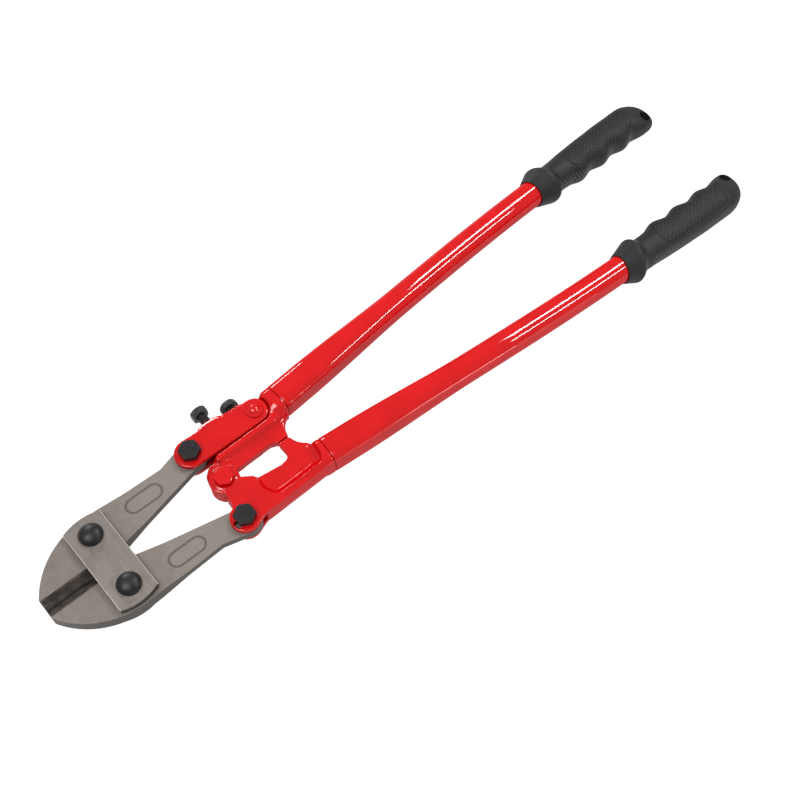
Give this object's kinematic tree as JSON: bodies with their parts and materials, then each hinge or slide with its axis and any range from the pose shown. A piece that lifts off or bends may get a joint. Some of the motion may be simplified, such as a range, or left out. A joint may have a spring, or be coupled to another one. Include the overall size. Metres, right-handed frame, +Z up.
{
  "type": "bolt cutters",
  "caption": "Long-handled bolt cutters with forged shear blades between jaw plates, cast handle roots, an adjusting link, painted tubes and moulded rubber grips.",
  "frame": {"origin": "on the centre pivot's axis, at the end face of its nut, on the plane the tool lies on", "axes": "+X from the pivot towards the grips along the tool's centre line, +Y towards the handle with the adjusting link, +Z up through the pivots towards the bolt heads"},
  "size_m": [0.5995, 0.1332, 0.032],
  "materials": {
    "red_paint": "glossy red enamel on cast and tubular steel",
    "blade_steel": "satin forged and ground tool steel",
    "black_oxide": "black oxide fasteners, slightly glossy",
    "grip_rubber": "matt dark grey moulded rubber"
  },
  "bodies": {
    "lower_handle": {"lower_casting": "red_paint", "lower_tube": "red_paint", "lower_grip": "grip_rubber", "lower_tail_bolt": "black_oxide", "lower_tail_nut": "black_oxide", "centre_pivot_bolt": "red_paint", "centre_pivot_nut": "black_oxide"},
    "upper_handle": {"upper_casting": "red_paint", "upper_tube": "red_paint", "upper_grip": "grip_rubber"},
    "lower_blade_body": {"lower_blade": "blade_steel"},
    "upper_blade_body": {"upper_blade": "blade_steel"},
    "jaw_plates": {"front_jaw_plate": "blade_steel", "rear_jaw_plate": "blade_steel", "upper_jaw_bolt": "black_oxide", "lower_jaw_bolt": "black_oxide", "upper_jaw_nut": "black_oxide", "lower_jaw_nut": "black_oxide"},
    "link": {"front_link_plate": "red_paint", "rear_link_plate": "red_paint", "link_block": "red_paint", "link_rivet": "red_paint", "upper_tail_bolt": "black_oxide", "upper_tail_nut": "black_oxide"},
    "adjuster": {"adjusting_screw": "black_oxide"},
    "locker": {"lock_screw": "black_oxide"}
  },
  "joints": [
    {"name": "handle_pivot", "type": "hinge", "parent": "lower_handle", "child": "upper_handle", "pos_m": [0, 0, 0.016], "axis": [0, 0, 1], "range_deg": [0, 90]},
    {"name": "lower_blade_tail", "type": "hinge", "parent": "lower_handle", "child": "lower_blade_body", "pos_m": [-0.0059, -0.0311, 0.016], "axis": [0, 0, 1], "range_deg": [0, 54]},
    {"name": "upper_blade_tail", "type": "hinge", "parent": "upper_handle", "child": "upper_blade_body", "pos_m": [-0.0059, 0.0311, 0.016], "axis": [0, 0, 1], "range_deg": [-54, 0]},
    {"name": "jaw_plate_pivot", "type": "hinge", "parent": "upper_blade_body", "child": "jaw_plates", "pos_m": [-0.09, 0.022, 0.016], "axis": [0, 0, 1], "range_deg": [0, 9]},
    {"name": "link_adjust", "type": "hinge", "parent": "upper_handle", "child": "link", "pos_m": [0.0468, 0.0294, 0.016], "axis": [0, 0, 1], "range_deg": [-1, 1]},
    {"name": "adjusting_screw_slide", "type": "slide", "parent": "link", "child": "adjuster", "axis": [0, 1, 0], "range_m": [-0.00055, 0.00055]},
    {"name": "lock_screw_slide", "type": "slide", "parent": "link", "child": "locker", "axis": [0, 1, 0], "range_m": [-0.0002, 0.0002]}
  ],
  "couplings": [
    {"joint": "lower_blade_tail", "follows": "handle_pivot", "ratio": 0.6},
    {"joint": "upper_blade_tail", "follows": "handle_pivot", "ratio": -0.6},
    {"joint": "jaw_plate_pivot", "follows": "handle_pivot", "ratio": 0.1},
    {"joint": "adjusting_screw_slide", "follows": "link_adjust", "m_per_rad": 0.0293},
    {"joint": "lock_screw_slide", "follows": "link_adjust", "m_per_rad": 0.0104}
  ]
}
